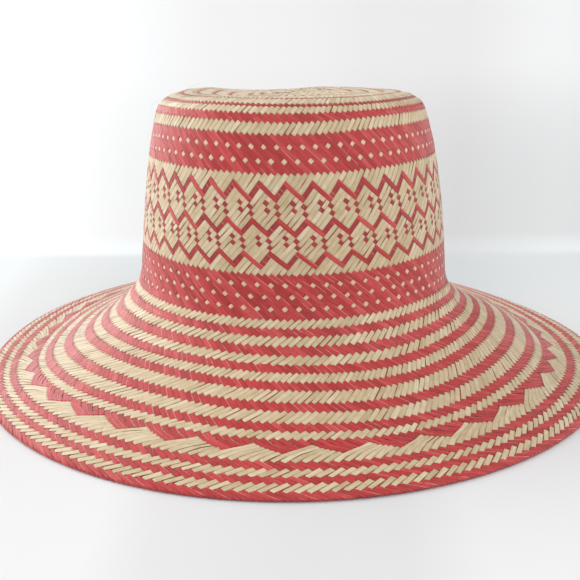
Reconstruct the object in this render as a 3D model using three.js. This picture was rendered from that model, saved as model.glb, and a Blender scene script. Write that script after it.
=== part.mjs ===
// Hand-plaited sun hat: round crown, flat tip and a wide brim that slopes down to its rim.
// Millimetres, +Z up, the rim's flat edge at z = 0, the hat's front towards -Y.

import * as THREE from "three";

// Driving dimensions
const WALL = 1.6; // two layers of straw
const HEAD_LINE_HEIGHT = 57; // the crown meets the brim here
const BRIM_START = 96.5; // radius from which the brim may wave
const TIP_HEIGHT = 168; // nominal height of the tip, above which nothing sinks further
const CROWN_RADIUS = 80; // at the top of the wall
const BACK_SAG = 3.1; // how far the tip's middle sinks; its back edge sinks four times this
const CROWN_SHIFT = 1.3; // the head line stands this far right of the rim's centre
const CROWN_LEAN = -0.0117; // sideways lean of the crown for each mm of height
const SEGMENTS_ROUND = 72;

// The wall's outer face at the front, from the tip's middle to the rim
const PROFILE = [
  { radius: 0, height: 170.4 },
  { radius: 24, height: 170.8 },
  { radius: 46, height: 171.8 },
  { radius: 60, height: 172.4 },
  { radius: 69, height: 171.6 },
  { radius: 75, height: 169 },
  { radius: 79.2, height: 164.9 },
  { radius: 81.8, height: 157 },
  { radius: 85.2, height: 142.3 },
  { radius: 87.9, height: 125.9 },
  { radius: 90.4, height: 107.4 },
  { radius: 92.3, height: 88.8 },
  { radius: 93.9, height: 72.3 },
  { radius: 95, height: 61.5 },
  { radius: 98.4, height: 53.6 },
  { radius: 108.8, height: 42.6 },
  { radius: 125, height: 32.3 },
  { radius: 142.3, height: 23.8 },
  { radius: 160.2, height: 15.8 },
  { radius: 177.8, height: 9.1 },
  { radius: 186.6, height: 5.8 },
  { radius: 194.3, height: 0 },
];
const RIM_FLAT = 2.4; // width of the edge that rests on a surface

// How far the middle of the brim is raised and pushed out, every 30 degrees from the front to the right
const BRIM_WAVES = [
  { rise: -1, reach: -0.5 },
  { rise: -3.5, reach: -1 },
  { rise: 0, reach: -2 },
  { rise: -4, reach: -3 },
  { rise: -9, reach: -2 },
  { rise: -8, reach: -0.5 },
  { rise: -4, reach: 0 },
  { rise: -4, reach: 0 },
  { rise: -6, reach: 1 },
  { rise: -8, reach: 2.5 },
  { rise: -1, reach: 3.5 },
  { rise: 1, reach: 0 },
];

// A shallow swell and hollow that cross the tip from side to side
const TIP_RIPPLE = { height: 1.2, length: 95, crest: 18, endRadius: 72 };

const STRAW = { color: 0xd9c49a, roughness: 0.72, metalness: 0 };

// Smooth curve through four neighbouring values, the same one that SplineCurve follows
function through(before, start, end, after, part) {
  const leave = (end - before) / 2;
  const arrive = (after - start) / 2;
  const cubic = 2 * start - 2 * end + leave + arrive;
  const square = -3 * start + 3 * end - 2 * leave - arrive;
  return ((cubic * part + square) * part + leave) * part + start;
}

// The value of one column of BRIM_WAVES at an angle round the hat
function wave(column, angle) {
  const count = BRIM_WAVES.length;
  const place = THREE.MathUtils.euclideanModulo(angle / (2 * Math.PI), 1) * count;
  const row = Math.floor(place);
  const value = (step) => BRIM_WAVES[(row + step + count) % count][column];
  return through(value(-1), value(0), value(1), value(2), place - row);
}

// 0 on the crown and on the rim's flat edge, 1 halfway across the brim
function brimShare(radius) {
  const rim = PROFILE.at(-1).radius - RIM_FLAT;
  return Math.sin(Math.PI * THREE.MathUtils.clamp((radius - BRIM_START) / (rim - BRIM_START), 0, 1));
}

function tipRipple(x, radius) {
  const fade = 1 - THREE.MathUtils.smoothstep(radius, TIP_RIPPLE.endRadius / 2, TIP_RIPPLE.endRadius);
  return TIP_RIPPLE.height * fade * Math.cos((2 * Math.PI * (x - TIP_RIPPLE.crest)) / TIP_RIPPLE.length);
}

// Moves a point of the round, even hat to where it lies on the real one
function settle(point) {
  const radius = Math.hypot(point.x, point.y);
  const angle = Math.atan2(point.x, -point.y);
  const share = brimShare(radius);
  const onCrown = THREE.MathUtils.clamp((point.z - HEAD_LINE_HEIGHT) / (TIP_HEIGHT - HEAD_LINE_HEIGHT), 0, 1.1);
  const outward = 1 + (radius > 0 ? (wave("reach", angle) * share) / radius : 0);
  const backward = 1 + THREE.MathUtils.clamp(point.y / CROWN_RADIUS, -1, 1.1);
  const sag = BACK_SAG * backward ** 2 * onCrown;
  const z = point.z + wave("rise", angle) * share - sag + tipRipple(point.x, radius);
  const shift = CROWN_SHIFT * Math.min(z / HEAD_LINE_HEIGHT, 1);
  const lean = CROWN_LEAN * Math.max(z - HEAD_LINE_HEIGHT, 0);
  return new THREE.Vector3(point.x * outward + shift + lean, point.y * outward, z);
}

// The outer face down to the rim, the flat edge, and the inner face back up to the tip
function wallSection() {
  const outer = PROFILE.map((row) => new THREE.Vector2(row.radius, row.height));
  const curve = new THREE.SplineCurve(outer);
  const last = outer.length - 1;
  const inner = outer.slice(1, last).map((point, index) => {
    const along = curve.getTangent((index + 1) / last);
    return new THREE.Vector2(point.x + along.y * WALL, point.y - along.x * WALL);
  });
  const edge = new THREE.Vector2(outer[last].x - RIM_FLAT, 0);
  const middle = new THREE.Vector2(0, outer[0].y - WALL);
  return [...outer, edge, ...inner.reverse(), middle];
}

function plaitedHat() {
  const geometry = new THREE.LatheGeometry(wallSection().reverse(), SEGMENTS_ROUND);
  geometry.rotateX(Math.PI / 2);
  const places = geometry.getAttribute("position");
  const point = new THREE.Vector3();
  for (let index = 0; index < places.count; index += 1) {
    point.fromBufferAttribute(places, index);
    places.setXYZ(index, ...settle(point).toArray());
  }
  geometry.computeVertexNormals();
  const mesh = new THREE.Mesh(geometry, new THREE.MeshStandardMaterial(STRAW));
  mesh.name = "plaited_hat";
  return mesh;
}

const hat = new THREE.Group();
hat.add(plaitedHat());

export default hat;
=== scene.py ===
# Hand-plaited sun hat of natural and red straw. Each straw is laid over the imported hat's surface.
# Lengths in this file are millimetres until the last step. +Z up, the hat's front towards -Y.

import math

import bmesh
import bpy
import numpy as np
from mathutils import Matrix, Vector


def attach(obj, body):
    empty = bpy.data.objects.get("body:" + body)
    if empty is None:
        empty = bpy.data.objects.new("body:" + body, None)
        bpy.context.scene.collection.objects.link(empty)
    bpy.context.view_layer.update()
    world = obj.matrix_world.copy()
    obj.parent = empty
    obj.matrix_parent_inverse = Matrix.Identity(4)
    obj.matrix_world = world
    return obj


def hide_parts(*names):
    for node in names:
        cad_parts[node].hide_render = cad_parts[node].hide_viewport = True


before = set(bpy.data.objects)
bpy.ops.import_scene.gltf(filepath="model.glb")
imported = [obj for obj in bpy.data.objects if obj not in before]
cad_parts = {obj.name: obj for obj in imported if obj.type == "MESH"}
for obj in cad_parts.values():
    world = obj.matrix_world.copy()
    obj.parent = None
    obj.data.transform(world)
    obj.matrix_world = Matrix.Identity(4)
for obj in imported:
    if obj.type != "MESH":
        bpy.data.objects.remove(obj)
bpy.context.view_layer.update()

MM = 0.001

# The wall's outer face at the front, radius and height from the tip's middle to the rim.
# It is the CAD hat's line, with the last row raised, because the plaited edge turns under there.
PROFILE = np.array(
    [
        (0, 170.4), (24, 170.8), (46, 171.8), (60, 172.4), (69, 171.6), (75, 169), (79.2, 164.9),
        (81.8, 157), (85.2, 142.3), (87.9, 125.9), (90.4, 107.4), (92.3, 88.8), (93.9, 72.3),
        (95, 61.5), (98.4, 53.6), (108.8, 42.6), (125, 32.3), (142.3, 23.8), (160.2, 15.8),
        (177.8, 9.1), (186.6, 5.8), (193.3, 2.35),
    ]
)
HEAD_LINE_HEIGHT = 57  # the crown meets the brim here
BRIM_START, BRIM_END = 96.5, 191.9  # the brim waves between these radii
TIP_HEIGHT = 168
CROWN_RADIUS = 80  # at the top of the wall
BACK_SAG = 3.1  # how far the tip's middle sinks; its back edge sinks four times this
CROWN_SHIFT = 1.3  # the head line stands this far right of the rim's centre
CROWN_LEAN = -0.0117  # sideways lean of the crown for each mm of height
CROWN_SWAY = 0.8  # how far the middle of the crown swells to the right
RIPPLE = {"height": 1.2, "length": 95, "crest": 18, "end": 72}  # a swell that crosses the tip

# Heights and radii between which each of the moves below fades in or out
HEAD_LINE_FADE = {"height": (88, 58), "radius": (99, 149)}
SHOULDER_FADE = (120, 150)
TIP_FADE = {"height": (160, 170), "radius": (0, 60)}

# How far parts of the hat are raised or pushed out, every 30 degrees from the front to the right.
# The curl raises the inner half of the brim and lowers the outer half.
# The sides and the back lie a few millimetres off the CAD hat, as the rings in the photo show.
BRIM_RISE = (-1, -3.5, 0.5, -1.5, -3.5, -3.5, -4, -6, -8, -8, -0.5, 1)
BRIM_CURL = (0, 0, 1, 4, 1, -0.5, -1, -1.5, -1.5, 0, 0.5, 0)
BRIM_REACH = (-0.5, -1, -2, -3, -2, -0.5, 0, 0, 1, 2.5, 3.5, 0)
RIM_REACH = (0, 0, 1, 0.5, -9, -9, -7.5, -6, -4, -4, -1, 0)
HEAD_LINE_RISE = (0, 0, -1, -6, -8.5, -8.5, -5, -2, -2, -3, -1, 0)
SHOULDER_RISE = (0, 1, 0.5, -1, -1, -0.5, -0.5, -1, -2, -3, -0.5, 0.5)
TIP_RISE = (0.5, 0, -0.5, -1.5, -1, -0.5, -1.5, -1.5, 0, -1.5, -1, 0.5)

# Two layers of straw, one over the other
LAYER = 0.26  # a straw's middle lies this far over or under the middle of the plait
PLAIT_DEPTH = 0.5  # the plait's middle lies this far inside the outer face
SUNK_CELL = {"red": 0.25, "natural": 0.6}  # level of a straw that surfaces for one cell only
SWELL = 0.12  # how far a long float stands up in its middle, as a share of its level
LONG_DIP, SHORT_DIP = 0.22, 0.13  # rows that a straw takes to rise over the other family and to dip again
ROWS_A_STOP = 2.2  # a long float has one more stop for each so many rows
EDGE_TURN = 0.6  # radius of the turned edge at the rim
TURNED_UNDER = 14  # how far the plait's line goes on under the rim
SECTION = ((-0.98, -0.16), (0.98, -0.16), (1.0, 0.10), (0.0, 0.16), (-1.0, 0.10))  # across, height


def through(before, start, end, after, part):
    """Smooth curve through four neighbouring values, as the CAD source has it."""
    leave = (end - before) / 2
    arrive = (after - start) / 2
    cubic = 2 * start - 2 * end + leave + arrive
    square = -3 * start + 3 * end - 2 * leave - arrive
    return ((cubic * part + square) * part + leave) * part + start


def wave(column, angle):
    """A value of the brim's waves at an angle from the front."""
    values = np.array(column, float)
    place = np.mod(angle / (2 * np.pi), 1) * len(values)
    row = np.floor(place).astype(int)
    near = [values[(row + step) % len(values)] for step in (-1, 0, 1, 2)]
    return through(*near, place - row)


def smooth(value, low, high):
    """From 0 at the low value to 1 at the high one, without a corner."""
    part = np.clip((value - low) / (high - low), 0, 1)
    return part * part * (3 - 2 * part)


def settle(x, y, z):
    """Moves points of the even round hat to where they lie on the real one."""
    radius = np.hypot(x, y)
    angle = np.arctan2(x, -y)
    on_brim = np.clip((radius - BRIM_START) / (BRIM_END - BRIM_START), 0, 1)
    share = np.sin(np.pi * on_brim)
    on_crown = np.clip((z - HEAD_LINE_HEIGHT) / (TIP_HEIGHT - HEAD_LINE_HEIGHT), 0, 1.1)
    push = wave(BRIM_REACH, angle) * share + wave(RIM_REACH, angle) * on_brim
    outward = 1 + push / np.maximum(radius, 1e-6)
    backward = 1 + np.clip(y / CROWN_RADIUS, -1, 1.1)
    fade = 1 - smooth(radius, RIPPLE["end"] / 2, RIPPLE["end"])
    ripple = RIPPLE["height"] * fade * np.cos(2 * np.pi * (x - RIPPLE["crest"]) / RIPPLE["length"])
    near_head_line = smooth(z, *HEAD_LINE_FADE["height"]) * (1 - smooth(radius, *HEAD_LINE_FADE["radius"]))
    on_tip = smooth(z, *TIP_FADE["height"])
    rise = wave(BRIM_RISE, angle) * share + wave(HEAD_LINE_RISE, angle) * near_head_line
    rise += wave(BRIM_CURL, angle) * np.sin(2 * np.pi * on_brim)
    rise += wave(SHOULDER_RISE, angle) * smooth(z, *SHOULDER_FADE) * (1 - on_tip)
    rise += wave(TIP_RISE, angle) * on_tip * smooth(radius, *TIP_FADE["radius"])
    z = z + rise - BACK_SAG * backward**2 * on_crown + ripple
    shift = CROWN_SHIFT * np.minimum(z / HEAD_LINE_HEIGHT, 1)
    shift += CROWN_SWAY * np.sin(np.pi * np.minimum(on_crown, 1))
    lean = CROWN_LEAN * np.maximum(z - HEAD_LINE_HEIGHT, 0)
    return x * outward + shift + lean, y * outward, z


class PlaitLine:
    """The middle of the plait from the tip's middle to the rim and round its turned edge."""

    def __init__(self):
        place = np.linspace(0, len(PROFILE) - 1, 6000)
        row = np.minimum(place.astype(int), len(PROFILE) - 2)
        last = len(PROFILE) - 1
        near = [PROFILE[np.clip(row + step, 0, last)] for step in (-1, 0, 1, 2)]
        face = through(*near, (place - row)[:, None])
        along = np.gradient(face, axis=0)
        along /= np.linalg.norm(along, axis=1)[:, None]
        out = np.stack([-along[:, 1], along[:, 0]], 1)
        reach = np.concatenate([[0], np.cumsum(np.linalg.norm(np.diff(face, axis=0), axis=1))])
        middle = face - out * PLAIT_DEPTH
        self.rim = reach[-1]
        turn = np.linspace(0, np.pi, 25)[1:]
        centre = middle[-1] - out[-1] * EDGE_TURN
        turned_out = np.cos(turn)[:, None] * out[-1] + np.sin(turn)[:, None] * along[-1]
        turned = centre + turned_out * EDGE_TURN
        under = reach > self.rim - TURNED_UNDER
        self.turn_end = self.rim + np.pi * EDGE_TURN
        self.reach = np.concatenate(
            [reach, self.rim + turn * EDGE_TURN, self.turn_end + (self.rim - reach[under])[::-1][1:]]
        )
        self.middle = np.concatenate(
            [middle, turned, (middle - out * 2 * EDGE_TURN)[under][::-1][1:]]
        )
        self.out = np.concatenate([out, turned_out, -out[under][::-1][1:]])

    def radius(self, reach):
        return np.interp(reach, self.reach, self.middle[:, 0])

    def place(self, reach, angle, height):
        """Where a point lies, by its reach from the tip's middle, its angle and its height."""
        near = [
            np.interp(reach, self.reach, column)
            for column in (*self.middle.T, *self.out.T)
        ]
        radius = near[0] + near[2] * height
        return settle(radius * np.sin(angle), -radius * np.cos(angle), near[1] + near[3] * height)


LINE = PlaitLine()

# How far the plait has turned round the hat by each distance from the tip's middle, in degrees
TURN_REACH = (0, 85, 91, 98, 105, 111, 120, 139, 157, 173, 196, 218, 229, 242, 256, 262, 274, 283, 304)
TURN_DEGREES = (
    -3.6, -3.6, -3.4, -2.9, -2.6, -2.7, -1.9, 0.25, 2.0, 4.4, 4.3, 4.2, 3.9, 3.5, 3.1, 2.8, 2.7, 3.2, 3.3
)
# How far the teeth fan out from one side to the other, by distance from the tip's middle
FAN_REACH = (0, 120, 173, 190, 217, 229, 242, 256, 266, 282, 304)
FAN_SHARE = (0, 0, -0.015, -0.015, 0, 0.025, 0.05, 0.085, 0.115, 0.14, 0.165)
FAN_ANGLE = math.radians(-15)
# How far the teeth spread at the front and the back and crowd at the left and the right
OVAL_REACH = (0, 217, 304)
OVAL_SHARE = (0.0265, 0.0265, 0.0165)


def swung(angle, reach):
    """The real angle of a tooth that lies at an even angle."""
    turn = np.radians(np.interp(reach, TURN_REACH, TURN_DEGREES))
    fan = np.interp(reach, FAN_REACH, FAN_SHARE) * np.sin(angle - FAN_ANGLE)
    return angle + turn + fan + np.interp(reach, OVAL_REACH, OVAL_SHARE) * np.sin(2 * angle)


# The plait's charts. Cell x of row k is red where the red straw lies on top.
ZIGZAG_CELLS = [(0, 0), (0.5, 1), (1, 2), (1.5, 3), (2, 4), (2.5, 3), (3, 2), (3.5, 1)]
DIAMOND_CHART = {
    *ZIGZAG_CELLS, (2, 6), (2, 8), (0.5, 5), (0.5, 7),
    *(((x + 2) % 4, row + 10) for x, row in ZIGZAG_CELLS), (0, 16), (0, 18), (2.5, 15), (2.5, 17),
    *((x, row + 20) for x, row in ZIGZAG_CELLS),
}


def natural_ring(row, x):
    return False


def red_ring(row, x):
    return True


def dotted(row, x):
    """A red band with rows of natural dots on every second tooth."""
    return not (row % 4 == 3 and (x - row // 4) % 2 == 0)


def diamonds(row, x):
    """Three red zigzags that enclose two rows of diamonds."""
    return (x % 4, row - 2) in DIAMOND_CHART


def triangles(row, x):
    """Natural triangles that stand on the ring below."""
    aside = abs((x + 4) % 6 - 3)
    return not (row >= 2 and aside <= (row - 2) / 2)


# Each band: where it starts, its chart, how many rows, and the chart's row that comes first.
# The crown keeps an odd number of rows before its first dotted band, so that the dots fall on teeth.
CROWN_BANDS = [
    (58.8, natural_ring, 2, 0), (63.6, red_ring, 1, 0), (66, natural_ring, 3, 0),
    (72.9, red_ring, 1, 0), (75.4, natural_ring, 2, 0),
    (80.2, red_ring, 3, 0), (84.9, natural_ring, 3, 0), (91.3, dotted, 11, 4),
    (112, diamonds, 4, 0), (120.6, diamonds, 5, 4), (130.5, diamonds, 5, 9),
    (140.1, diamonds, 5, 14), (148.9, diamonds, 10, 19), (166.5, dotted, 15, 4),
    (191.3, natural_ring, 3, 0), (196.1, red_ring, 3, 0), (200.6, natural_ring, 3, 0),
    (206.1, red_ring, 3, 0), (211.8, natural_ring, 3, 0),
]
CROWN_END = 217.5
BRIM_BANDS = [
    (217.5, red_ring, 3, 0), (222.6, natural_ring, 3, 0), (228.4, red_ring, 3, 0),
    (233.9, natural_ring, 4, 0), (242, red_ring, 3, 0), (248, natural_ring, 4, 0),
    (255.8, red_ring, 3, 0), (261.3, natural_ring, 3, 0), (266.2, triangles, 2, 0),
    (270.4, triangles, 6, 2), (276.4, triangles, 3, 8), (281.4, red_ring, 3, 0),
    (286.5, natural_ring, 3, 0), (291.3, red_ring, 3, 0), (295.7, natural_ring, 3, 0),
    (300.7, red_ring, 3, 0),
]
ROWS_BEFORE, ROWS_AFTER = 2, 6  # rows that a zone's straws may run on past its first and last row


class Plait:
    """One zone of the plait. Each family has so many straws all round, and a motif repeats after a few."""

    def __init__(self, count, motif, bands, end, start_angle):
        self.count = count
        self.motif = motif
        self.start_angle = math.radians(start_angle)
        self.charts = []
        edges = []
        for index, (start, chart, rows, first) in enumerate(bands):
            stop = bands[index + 1][0] if index + 1 < len(bands) else end
            edges.extend(np.linspace(start, stop, rows, endpoint=False))
            self.charts.extend((chart, first + row) for row in range(rows))
        edges.append(end)
        self.rows = len(self.charts)
        step_in, step_out = edges[1] - edges[0], edges[-1] - edges[-2]
        self.edge_rows = np.arange(-ROWS_BEFORE, self.rows + ROWS_AFTER + 1)
        before = [edges[0] - step_in * step for step in range(ROWS_BEFORE, 0, -1)]
        after = [edges[-1] + step_out * step for step in range(1, ROWS_AFTER + 1)]
        self.edges = np.array(before + edges + after)
        heights = np.gradient(self.edges)
        self.heights = np.convolve(np.pad(heights, 1, mode="edge"), [0.25, 0.5, 0.25], "valid")

    def reach(self, row):
        return np.interp(row, self.edge_rows, self.edges)

    def row_height(self, row):
        return np.interp(row, self.edge_rows, self.heights)

    def red_on_top(self, row, x):
        chart, chart_row = self.charts[row]
        return chart(chart_row, x)

    def stops(self, family, number, head, tail):
        """Rows and levels that a straw passes, over and under the other family.

        The head is how far it starts before the first row, and the tail holds stops past the last row.
        """
        sides = []
        for row in range(self.rows):
            red = self.red_on_top(row, number + (0.5 if family == "red" else -0.5) * row)
            sides.append(1 if red == (family == "red") else -1)
        stops = [(-head, sides[0] if head < 0.5 else -1)]
        start = 0
        for row in range(1, self.rows + 1):
            if row < self.rows and sides[row] == sides[start]:
                continue
            float_rows = row - start
            dip = LONG_DIP if float_rows > 1 else SHORT_DIP
            for place in np.linspace(start + dip, row - dip, 2 + int((float_rows - 1) / ROWS_A_STOP)):
                swell = SWELL * math.sin(math.pi * (place - start) / float_rows) if float_rows > 2 else 0
                level = sides[start] * (1 + swell)
                if sides[start] > 0 and float_rows == 1:
                    level = SUNK_CELL[family]
                stops.append((place, level))
            start = row
        return stops + [(self.rows + past, level) for past, level in tail]


def straw(bm, layers, number, slope, stops):
    """One straw as a closed tube in chart places: teeth to the right, rows down, height out."""
    corner, across, strand, side = layers
    cap = bmesh.ops.create_circle(bm, cap_ends=True, segments=len(SECTION), radius=1)["verts"]
    for index, vert in enumerate(cap):
        vert[corner] = index
        vert[strand] = number
    face = cap[0].link_faces[0]
    for step, (row, level) in enumerate(stops):
        if step:
            made = bmesh.ops.extrude_face_region(bm, geom=[face])["geom"]
            bmesh.ops.delete(bm, geom=[face], context="FACES_ONLY")
            face = next(part for part in made if isinstance(part, bmesh.types.BMFace))
        for vert in face.verts:
            vert[across], height = SECTION[vert[corner]]
            vert[side] = level
            vert.co = (number + slope * (row - 0.5), -row, level * LAYER + height)


def chart_mesh(name, plait, family, head, tail):
    """The straws of one motif, repeated round the hat, still in chart places."""
    bm = bmesh.new()
    layers = (
        bm.verts.layers.int.new("corner"),
        bm.verts.layers.float.new("across"),
        bm.verts.layers.int.new("strand"),
        bm.verts.layers.float.new("level"),
    )
    slope = 0.5 if family == "red" else -0.5
    for number in range(plait.motif):
        straw(bm, layers, number, slope, plait.stops(family, number, head, tail))
    bmesh.ops.recalc_face_normals(bm, faces=bm.faces)
    bmesh.ops.triangulate(bm, faces=[face for face in bm.faces if len(face.verts) > 4])
    mesh = bpy.data.meshes.new(name)
    bm.to_mesh(mesh)
    bm.free()
    motif = bpy.data.objects.new(name + "_motif", mesh)
    bpy.context.collection.objects.link(motif)
    repeat = motif.modifiers.new("round_the_hat", "ARRAY")
    repeat.use_relative_offset = False
    repeat.use_constant_offset = True
    repeat.constant_offset_displace = (plait.motif, 0, 0)
    repeat.count = plait.count // plait.motif
    bpy.context.view_layer.update()
    evaluated = motif.evaluated_get(bpy.context.evaluated_depsgraph_get())
    whole = bpy.data.meshes.new_from_object(evaluated)
    per_copy = len(mesh.vertices)
    bpy.data.objects.remove(motif)
    whole.name = name
    return whole, per_copy


def drift(rng, count, rows, every, spread):
    """A smooth random value for each straw along its rows."""
    knots = rng.normal(0, spread, (count, rows // every + 6))

    def at(strand, row):
        place = (row + ROWS_BEFORE) / every
        low = np.clip(np.floor(place).astype(int), 0, knots.shape[1] - 2)
        part = place - low
        part = part * part * (3 - 2 * part)
        return knots[strand, low] * (1 - part) + knots[strand, low + 1] * part

    return at


# How a straw changes along its rows: rows from one random value to the next, and their spread
EDGE_WANDER = (9, 0.10)
GAP_WANDER = (3, 1.0)
LIFT_WANDER = (5, 0.02)
TWIST_WANDER = (5, math.radians(1.6))
TONE_WANDER = (6, 0.08)

REACH_STEP = 0.5  # the plait's turn is measured this far inside and outside a point
CHART_LENGTH = 10  # millimetres of straw to one unit of the straw chart
SHARP_FOLD = math.radians(16)


def lay(mesh, per_copy, plait, family, seed, gap_share, gap_width):
    """Moves a chart mesh onto the hat, with each straw's own width, place and tone."""
    total = len(mesh.vertices)
    places = np.empty(total * 3, np.float32)
    mesh.vertices.foreach_get("co", places)
    teeth, row, height = places.reshape(-1, 3).astype(float).T
    row = -row
    across = np.empty(total, np.float32)
    mesh.attributes["across"].data.foreach_get("value", across)
    level = np.empty(total, np.float32)
    mesh.attributes["level"].data.foreach_get("value", level)
    strand = np.empty(total, np.int32)
    mesh.attributes["strand"].data.foreach_get("value", strand)
    strand = (strand + plait.motif * (np.arange(total) // per_copy)) % plait.count
    before = (strand - 1) % plait.count

    rng = np.random.default_rng(seed)
    edge_shift = drift(rng, plait.count, plait.rows, *EDGE_WANDER)
    open_edge = drift(rng, plait.count, plait.rows, *GAP_WANDER)
    lift = drift(rng, plait.count, plait.rows, *LIFT_WANDER)
    twist = drift(rng, plait.count, plait.rows, *TWIST_WANDER)
    tone = drift(rng, plait.count, plait.rows, *TONE_WANDER)
    straw_tone = rng.uniform(0, 1, plait.count)
    straw_seed = rng.uniform(0, 1, plait.count)
    threshold = np.quantile(rng.normal(0, 1, 4000), 1 - gap_share)

    def gap(side):
        return gap_width * np.clip((open_edge(side, row) - threshold) * 2.2, 0, 1)

    reach = plait.reach(row)
    tall = plait.row_height(row)
    radius = LINE.radius(reach)
    even_angle = 2 * np.pi * teeth / plait.count + plait.start_angle
    tooth = 2 * np.pi / plait.count
    pitch = radius * (swung(even_angle + tooth / 2, reach) - swung(even_angle - tooth / 2, reach))
    turn = swung(even_angle, reach + REACH_STEP) - swung(even_angle, reach - REACH_STEP)
    lean = radius * turn / (2 * REACH_STEP) * tall
    sideways = (0.5 if family == "red" else -0.5) * pitch + lean
    length = np.hypot(sideways, tall)
    width = pitch * tall / length
    right = width / 2 + edge_shift(strand, row) - gap(strand) / 2
    left = width / 2 - edge_shift(before, row) - gap(before) / 2
    aside = np.where(across > 0, across * right, across * left)
    height = height + lift(strand, row) + aside * np.sin(twist(strand, row))
    angle = swung(even_angle, reach) + aside * tall / length / radius
    settled = LINE.place(reach - aside * sideways / length, angle, height)
    mesh.vertices.foreach_set("co", (np.stack(settled, 1) * MM).astype(np.float32).ravel())

    along = np.clip(row + ROWS_BEFORE, 0, len(plait.edges) - 1) * np.mean(length)
    loops = np.empty(len(mesh.loops), np.int32)
    mesh.loops.foreach_get("vertex_index", loops)
    chart = mesh.uv_layers.new(name="straw")
    flat = np.stack([(across + 1) / 2, along / CHART_LENGTH + straw_seed[strand] * 40], 1)
    chart.data.foreach_set("uv", flat[loops].astype(np.float32).ravel())
    for name, values in (
        ("tone", np.clip(straw_tone[strand] + tone(strand, row), 0, 1)),
        ("seed", straw_seed[strand]),
        ("single_cell", np.abs(level - SUNK_CELL[family]) < 0.01),
    ):
        layer = mesh.attributes.new(name, "FLOAT", "POINT")
        layer.data.foreach_set("value", values.astype(np.float32))
    for name in ("corner", "across", "strand", "level"):
        mesh.attributes.remove(mesh.attributes[name])
    mesh.polygons.foreach_set("use_smooth", np.ones(len(mesh.polygons), bool))
    mesh.update()
    mesh.set_sharp_from_angle(angle=SHARP_FOLD)


def joined(name, meshes, material):
    """One piece of the hat from the laid meshes."""
    bm = bmesh.new()
    for mesh in meshes:
        bm.from_mesh(mesh)
        bpy.data.meshes.remove(mesh)
    whole = bpy.data.meshes.new(name)
    bm.to_mesh(whole)
    bm.free()
    whole.materials.append(material)
    piece = bpy.data.objects.new(name, whole)
    bpy.context.collection.objects.link(piece)
    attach(piece, "root")
    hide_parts("plaited_hat")
    return piece


# Materials


def shader(name):
    material = bpy.data.materials.new(name)
    material.use_nodes = True
    nodes = material.node_tree.nodes
    return material, nodes, material.node_tree.links, nodes["Principled BSDF"]


def math_node(nodes, links, operation, *values):
    node = nodes.new("ShaderNodeMath")
    node.operation = operation
    for index, value in enumerate(values):
        if isinstance(value, (int, float)):
            node.inputs[index].default_value = value
        else:
            links.new(value, node.inputs[index])
    return node.outputs[0]


def ramp(nodes, links, source, stops):
    node = nodes.new("ShaderNodeValToRGB")
    while len(node.color_ramp.elements) < len(stops):
        node.color_ramp.elements.new(0.5)
    for element, (place, colour) in zip(node.color_ramp.elements, stops):
        element.position = place
        element.color = (*colour, 1)
    links.new(source, node.inputs["Fac"])
    return node.outputs["Color"]


def span(nodes, links, source, low, high, to_low, to_high):
    node = nodes.new("ShaderNodeMapRange")
    node.interpolation_type = "SMOOTHSTEP"
    for socket, value in zip(node.inputs[1:5], (low, high, to_low, to_high)):
        socket.default_value = value
    links.new(source, node.inputs[0])
    return node.outputs[0]


def mixed(nodes, links, kind, factor, one, two):
    node = nodes.new("ShaderNodeMix")
    node.data_type = "RGBA"
    node.blend_type = kind
    for socket, value in ((node.inputs[0], factor), (node.inputs[6], one), (node.inputs[7], two)):
        if isinstance(value, (int, float)):
            socket.default_value = value
        elif isinstance(value, tuple):
            socket.default_value = (*value, 1)
        else:
            links.new(value, socket)
    return node.outputs[2]


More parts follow.
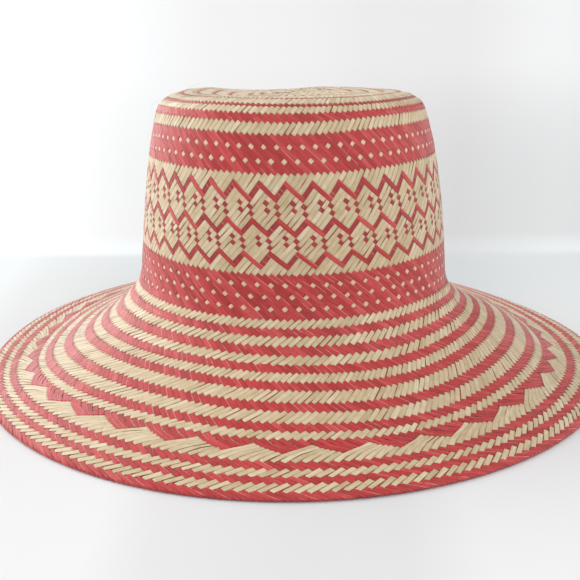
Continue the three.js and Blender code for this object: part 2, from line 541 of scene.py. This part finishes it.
def straw_material(name, tones, streak_and_shade_tint, single_cell, dark_edge_and_shade, pale_edge=None):
    """Split palm straw: fine fibres along the straw, its own tone, pale edges on dyed straw, a tint on
    cells where a straw surfaces for one row only (painted shade on red straw), painted shade towards each
    straw's edges, and a thin dark edge line that is partly painted shade of the slits between straws.
    """
    material, nodes, links, skin = shader(name)
    chart = nodes.new("ShaderNodeUVMap")
    chart.uv_map = "straw"
    parts = nodes.new("ShaderNodeSeparateXYZ")
    links.new(chart.outputs["UV"], parts.inputs[0])
    across, along = parts.outputs[0], parts.outputs[1]
    tone = nodes.new("ShaderNodeAttribute")
    tone.attribute_name = "tone"
    seed = nodes.new("ShaderNodeAttribute")
    seed.attribute_name = "seed"

    def streaks(fineness, stretch, detail):
        place = nodes.new("ShaderNodeCombineXYZ")
        links.new(math_node(nodes, links, "MULTIPLY", across, fineness), place.inputs[0])
        links.new(math_node(nodes, links, "MULTIPLY", along, stretch), place.inputs[1])
        links.new(math_node(nodes, links, "MULTIPLY", seed.outputs["Fac"], 31.0), place.inputs[2])
        noise = nodes.new("ShaderNodeTexNoise")
        noise.inputs["Scale"].default_value = 1
        noise.inputs["Detail"].default_value = detail
        noise.inputs["Roughness"].default_value = 0.6
        links.new(place.outputs[0], noise.inputs["Vector"])
        return noise.outputs["Fac"]

    fibres = streaks(9.0, 0.9, 3)
    blotches = streaks(1.2, 1.6, 2)
    colour = ramp(nodes, links, tone.outputs["Fac"], tones)
    colour = mixed(
        nodes, links, "MULTIPLY", span(nodes, links, fibres, 0.35, 0.68, 0.75, 0.0), colour, streak_and_shade_tint
    )
    colour = mixed(
        nodes, links, "MULTIPLY", span(nodes, links, blotches, 0.35, 0.62, 0.5, 0.0), colour, streak_and_shade_tint
    )
    # Straws that surface for one cell only: on red straw this is painted shade of the sunk cell between
    # higher neighbours; natural straw gets a pinkish tint instead.
    single = nodes.new("ShaderNodeAttribute")
    single.attribute_name = "single_cell"
    single_share = math_node(nodes, links, "MULTIPLY", single.outputs["Fac"], 0.6)
    colour = mixed(nodes, links, "MIX", single_share, colour, single_cell)
    off_middle = math_node(nodes, links, "ABSOLUTE", math_node(nodes, links, "SUBTRACT", across, 0.5))
    # Painted shade: the colour darkens towards both edges of each straw, as on a rounded straw in light.
    rounding_shade = span(nodes, links, off_middle, 0.2, 0.5, 0.0, dark_edge_and_shade["rounding_shade"])
    colour = mixed(nodes, links, "MULTIPLY", rounding_shade, colour, streak_and_shade_tint)
    # A thin dark line along each straw's edges: partly the straw's darker split edge, partly painted shade
    # of the slits between neighbouring straws.
    line_start = dark_edge_and_shade["from_middle"]
    line = span(nodes, links, off_middle, line_start, line_start + 0.05, 0.0, 1.0)
    patches = streaks(0.8, 0.7, 1)
    line_strength = span(nodes, links, patches, 0.44, 0.60, dark_edge_and_shade["least"], dark_edge_and_shade["most"])
    line = math_node(nodes, links, "MULTIPLY", line, line_strength)
    colour = mixed(nodes, links, "MIX", line, colour, dark_edge_and_shade["colour"])
    if pale_edge:
        shown = math_node(nodes, links, "GREATER_THAN", seed.outputs["Fac"], pale_edge["from_seed"])
        edge = span(nodes, links, across, 0.86, 0.94, 0.0, 1.0)
        places = span(nodes, links, streaks(0.4, 0.55, 1), 0.47, 0.56, 0.0, 1.0)
        mark = math_node(nodes, links, "MULTIPLY", math_node(nodes, links, "MULTIPLY", edge, places), shown)
        mark = math_node(nodes, links, "MULTIPLY", mark, pale_edge["strength"])
        colour = mixed(nodes, links, "MIX", mark, colour, pale_edge["colour"])
    links.new(colour, skin.inputs["Base Color"])
    links.new(span(nodes, links, fibres, 0.3, 0.7, 0.62, 0.42), skin.inputs["Roughness"])
    skin.inputs["Specular IOR Level"].default_value = 0.45
    skin.inputs["Sheen Weight"].default_value = 0.25
    skin.inputs["Sheen Roughness"].default_value = 0.4
    bump = nodes.new("ShaderNodeBump")
    bump.inputs["Strength"].default_value = 0.35
    bump.inputs["Distance"].default_value = 0.12 * MM
    links.new(fibres, bump.inputs["Height"])
    links.new(bump.outputs["Normal"], skin.inputs["Normal"])
    return material


NATURAL = straw_material(
    "natural_straw",
    [
        (0.0, (0.57, 0.46, 0.31)),
        (0.3, (0.63, 0.52, 0.36)),
        (0.7, (0.67, 0.56, 0.40)),
        (1.0, (0.73, 0.63, 0.48)),
    ],
    (0.80, 0.72, 0.56),
    (0.76, 0.48, 0.36),
    # painted shade towards the straw's edges, and a thin dark edge line that is partly painted shade of the
    # slits between straws
    {"from_middle": 0.44, "rounding_shade": 0.4, "least": 0.05, "most": 0.65, "colour": (0.17, 0.12, 0.065)},
)
RED = straw_material(
    "red_straw",
    [
        (0.0, (0.455, 0.034, 0.036)),
        (0.4, (0.525, 0.043, 0.044)),
        (0.8, (0.585, 0.057, 0.057)),
        (1.0, (0.64, 0.085, 0.082)),
    ],
    (0.72, 0.5, 0.5),
    # painted shade of red cells that surface for one cell only, sunk between higher neighbours
    (0.27, 0.025, 0.03),
    # painted shade towards the straw's edges, and a thin dark edge line that is partly painted shade of the
    # slits between straws
    {"from_middle": 0.46, "rounding_shade": 0.35, "least": 0.0, "most": 0.55, "colour": (0.22, 0.012, 0.02)},
    {"from_seed": 0.4, "strength": 0.75, "colour": (0.80, 0.36, 0.31)},
)

# How often a gap opens beside a straw, as a share, and how wide it gets
GAPS = {"natural": (0.30, 0.55), "red": (0.06, 0.18)}


def build(plait, family, name, seed, head, tail):
    """All straws of one family in one zone, laid on the hat."""
    mesh, per_copy = chart_mesh(name, plait, family, head, tail)
    lay(mesh, per_copy, plait, family, seed, *GAPS[family])
    return mesh


CROWN = Plait(160, 4, CROWN_BANDS, CROWN_END, 0)
BRIM = Plait(240, 6, BRIM_BANDS, LINE.rim, 0.6)
UNDER_NEXT_ZONE = [(0.32, -0.6), (0.9, -1.6)]  # straws slip under the first row of the zone outside
SHORT_OF_THE_RIM = [(-0.15, -1)]  # natural straws end just inside the turned edge


def round_the_edge():
    """Red straws turn round the rim's edge and lie under it."""
    turn = np.pi * EDGE_TURN / (BRIM.edges[-1] - BRIM.edges[-2])
    stops = [(turn * part, 1) for part in (0.02, 0.2, 0.4, 0.6, 0.8, 1.0)]
    return stops + [(turn + 1.0, 1), (turn + 2.2, 1)]


crown_red = build(CROWN, "red", "crown_red_straws", 11, 0.4, UNDER_NEXT_ZONE)
crown_natural = build(CROWN, "natural", "crown_natural_straws", 12, 0.4, UNDER_NEXT_ZONE)
brim_red = build(BRIM, "red", "brim_red_straws", 13, 0.9, round_the_edge())
brim_natural = build(BRIM, "natural", "brim_natural_straws", 14, 0.9, SHORT_OF_THE_RIM)


def ring_bands(*rings):
    """Plain rings as bands, from where each starts, its colour and its number of rows."""
    charts = {"red": red_ring, "natural": natural_ring}
    return [(start, charts[colour], rows, 0) for start, colour, rows in rings]


# The tip doubles its straws at each zone: how many straws, the rings, and where the zone ends
TIP_ZONES = [
    (80, ring_bands((32, "natural", 1), (35, "red", 1), (37.4, "natural", 3), (44.6, "red", 1),
                    (47, "natural", 3), (54.2, "red", 1), (56.6, "natural", 1)), 58.8),
    (40, ring_bands((16.5, "red", 1), (18.8, "natural", 2), (23.2, "red", 1), (25.4, "natural", 3)), 32),
    (20, ring_bands((8.5, "red", 1), (10.6, "natural", 3)), 16.5),
    (10, ring_bands((3, "natural", 3)), 8.5),
    (5, ring_bands((0.6, "natural", 1)), 3),
]
tip_reds, tip_naturals = [], []
for order, (count, bands, end) in enumerate(TIP_ZONES):
    zone = Plait(count, 1, bands, end, 0)
    tip_reds.append(build(zone, "red", f"tip_red_{order}", 20 + order, 0.9, UNDER_NEXT_ZONE))
    tip_naturals.append(build(zone, "natural", f"tip_natural_{order}", 30 + order, 0.9, UNDER_NEXT_ZONE))

joined("crown_red_straws", [crown_red], RED)
joined("crown_natural_straws", [crown_natural], NATURAL)
joined("brim_red_straws", [brim_red], RED)
joined("brim_natural_straws", [brim_natural], NATURAL)
joined("tip_red_straws", tip_reds, RED)
joined("tip_natural_straws", tip_naturals, NATURAL)


FIBRE_RADIUS, FIBRE_TAPER = 0.085, 0.008  # at the root, and how much thinner at each step
FIBRE_STEPS = 7


def loose_fibres(name, count, seed):
    """Fine hairs that have split off the straws and stand up from the plait."""
    rng = np.random.default_rng(seed)
    bm = bmesh.new()
    corner = bm.verts.layers.int.new("corner")
    tone = bm.verts.layers.float.new("tone")
    for _ in range(count):
        reach, angle = rng.uniform(55, 296), rng.uniform(-np.pi, np.pi)
        length, heading, curl = rng.uniform(5, 15), rng.uniform(0, 2 * np.pi), rng.normal(0, 1.2)
        rise = rng.uniform(0.3, 1.6) if rng.uniform() < 0.8 else rng.uniform(2, 5)
        cap = bmesh.ops.create_circle(bm, cap_ends=True, segments=3, radius=1)["verts"]
        for index, vert in enumerate(cap):
            vert[corner] = index
            vert[tone] = 0.9
        face = cap[0].link_faces[0]
        for step in range(FIBRE_STEPS):
            part = step / (FIBRE_STEPS - 1)
            if step:
                made = bmesh.ops.extrude_face_region(bm, geom=[face])["geom"]
                bmesh.ops.delete(bm, geom=[face], context="FACES_ONLY")
                face = next(part for part in made if isinstance(part, bmesh.types.BMFace))
                pace = length / (FIBRE_STEPS - 1)
                reach += math.cos(heading) * pace
                angle += math.sin(heading) * pace / float(LINE.radius(reach))
                heading += curl / (FIBRE_STEPS - 1)
            thick = FIBRE_RADIUS - FIBRE_TAPER * step
            for vert in face.verts:
                around = vert[corner] * 2 * math.pi / 3
                aside = thick * math.cos(around) / float(LINE.radius(reach))
                height = 2 * LAYER + rise * part**1.5 + thick * math.sin(around)
                vert.co = Vector(LINE.place(reach, angle + aside, height)) * MM
    bmesh.ops.recalc_face_normals(bm, faces=bm.faces)
    chart = bm.loops.layers.uv.new("straw")
    for face in bm.faces:
        for loop in face.loops:
            loop[chart].uv = (0.5, 0.5)
    mesh = bpy.data.meshes.new(name)
    bm.to_mesh(mesh)
    bm.free()
    mesh.attributes.remove(mesh.attributes["corner"])
    return mesh


joined("loose_fibres", [loose_fibres("loose_fibre_strands", 110, 41)], NATURAL)


# Camera at the photograph's angle

IMAGE_SIDE = 580
PICTURE_CENTRE_X = 294.55  # pixel column that the camera points at
CAMERA_PLACE = (1.97, -638.74, 253.37)
CAMERA_PITCH = 18.276
CAMERA_ROLL = -0.375
camera_data = bpy.data.cameras.new("camera")
camera_data.sensor_width = 36
camera_data.lens = 65.8
camera_data.shift_x = (IMAGE_SIDE / 2 - PICTURE_CENTRE_X) / IMAGE_SIDE
camera_data.clip_start = 0.01
camera_data.clip_end = 50
camera = bpy.data.objects.new("camera", camera_data)
camera.matrix_world = (
    Matrix.Translation(Vector(CAMERA_PLACE) * MM)
    @ Matrix.Rotation(math.radians(90 - CAMERA_PITCH), 4, "X")
    @ Matrix.Rotation(math.radians(CAMERA_ROLL), 4, "Z")
)
bpy.context.collection.objects.link(camera)
bpy.context.scene.camera = camera

# Pale floor that reaches to the horizon, with painted light and shade in its greys, and soft light from the
# left

FAN_POINT = 0.64  # metres in front of the hat's middle, where the tones behind the hat fan out from


def painted_light_floor_material():
    """Pale floor with painted light and shade: greys lighter towards the left as if lit from there, painted
    shade in front of the hat and behind its right side, and a soft change of tone behind the hat. Metres
    here.
    """
    material, nodes, links, skin = shader("pale_floor_painted_light")
    place = nodes.new("ShaderNodeTexCoord")
    parts = nodes.new("ShaderNodeSeparateXYZ")
    links.new(place.outputs["Object"], parts.inputs[0])
    rightward, backward = parts.outputs[0], parts.outputs[1]
    distance = math_node(nodes, links, "MAXIMUM", math_node(nodes, links, "ADD", backward, FAN_POINT), 0.1)
    fanned = math_node(nodes, links, "DIVIDE", rightward, distance)

    def tones(source, *stops):
        """Greys that change from left to right: a place, a grey and how cold the grey is."""
        scaled = math_node(nodes, links, "ADD", source, 0.5)
        colours = [(x + 0.5, (grey, grey * cold, grey * cold)) for x, grey, cold in stops]
        return ramp(nodes, links, scaled, colours)

    # Painted shade on the floor just in front of the hat, lighter to both sides
    near = tones(
        rightward, (-0.17, 0.753, 1), (-0.09, 0.753, 1), (-0.062, 0.68, 1), (0, 0.65, 1),
        (0.05, 0.665, 1.005), (0.085, 0.757, 1), (0.17, 0.803, 1),
    )
    # Painted shade behind the hat, deepest on its right side, with painted light to the left
    behind = tones(
        rightward, (-0.225, 0.781, 1.03), (-0.2, 0.725, 1.03), (-0.16, 0.688, 1.03), (-0.13, 0.651, 1.05),
        (0.137, 0.558, 1.05), (0.16, 0.577, 1.05), (0.192, 0.605, 1.04), (0.22, 0.614, 1.04),
    )
    # Further back the greys stay lighter on the left: painted light from the left
    edge_line = tones(
        fanned, (-0.19, 0.818, 1.02), (-0.155, 0.781, 1.04), (0.16, 0.595, 1.02), (0.25, 0.688, 1.03)
    )
    beyond = tones(
        fanned, (-0.24, 0.856, 1), (-0.19, 0.79, 1), (-0.155, 0.744, 1), (0.16, 0.563, 0.99),
        (0.19, 0.581, 1), (0.25, 0.614, 1.01),
    )
    furthest = tones(
        fanned, (-0.19, 0.856, 1), (-0.15, 0.809, 1), (-0.12, 0.772, 1), (-0.07, 0.744, 0.98),
        (0.015, 0.725, 0.98), (0.07, 0.693, 0.98), (0.16, 0.688, 0.98), (0.23, 0.735, 1),
    )

    def further(low, high, before, after):
        """One tone up to a distance behind the hat's middle, and another beyond it."""
        share = span(nodes, links, backward, low, high, 0, 1)
        return mixed(nodes, links, "MIX", share, before, after)

    near_tone = further(-0.15, 0.2, near, behind)
    far_tone = further(0.35, 1.8, beyond, furthest)
    paint = further(0.215, 0.235, near_tone, further(0.24, 0.30, edge_line, far_tone))
    links.new(paint, skin.inputs["Base Color"])
    skin.inputs["Roughness"].default_value = 0.9
    skin.inputs["Specular IOR Level"].default_value = 0.1
    return material


FLOOR_REACH = 12  # metres
bm = bmesh.new()
bmesh.ops.create_grid(bm, x_segments=2, y_segments=2, size=FLOOR_REACH)
floor_mesh = bpy.data.meshes.new("floor")
bm.to_mesh(floor_mesh)
bm.free()
floor_mesh.materials.append(painted_light_floor_material())
floor = bpy.data.objects.new("floor", floor_mesh)
bpy.context.collection.objects.link(floor)


def even_light(name, towards, softness, strength):
    """Light of the same strength everywhere, from a wide patch of the sky."""
    data = bpy.data.lights.new(name, "SUN")
    data.angle = math.radians(softness)
    data.energy = strength
    light = bpy.data.objects.new(name, data)
    light.rotation_euler = Vector(towards).to_track_quat("-Z", "Y").to_euler()
    bpy.context.collection.objects.link(light)


even_light("front", (0, 1, -0.90), 80, 1.16)
even_light("left", (1, -0.55, -0.34), 75, 4.05)
even_light("right", (-1, 0.0, -0.3), 90, 1.5)

world = bpy.data.worlds.new("studio")
world.use_nodes = True
world.node_tree.nodes["Background"].inputs["Color"].default_value = (0.96, 0.98, 1, 1)
world.node_tree.nodes["Background"].inputs["Strength"].default_value = 0.42
bpy.context.scene.world = world
bpy.context.scene.view_settings.view_transform = "Standard"
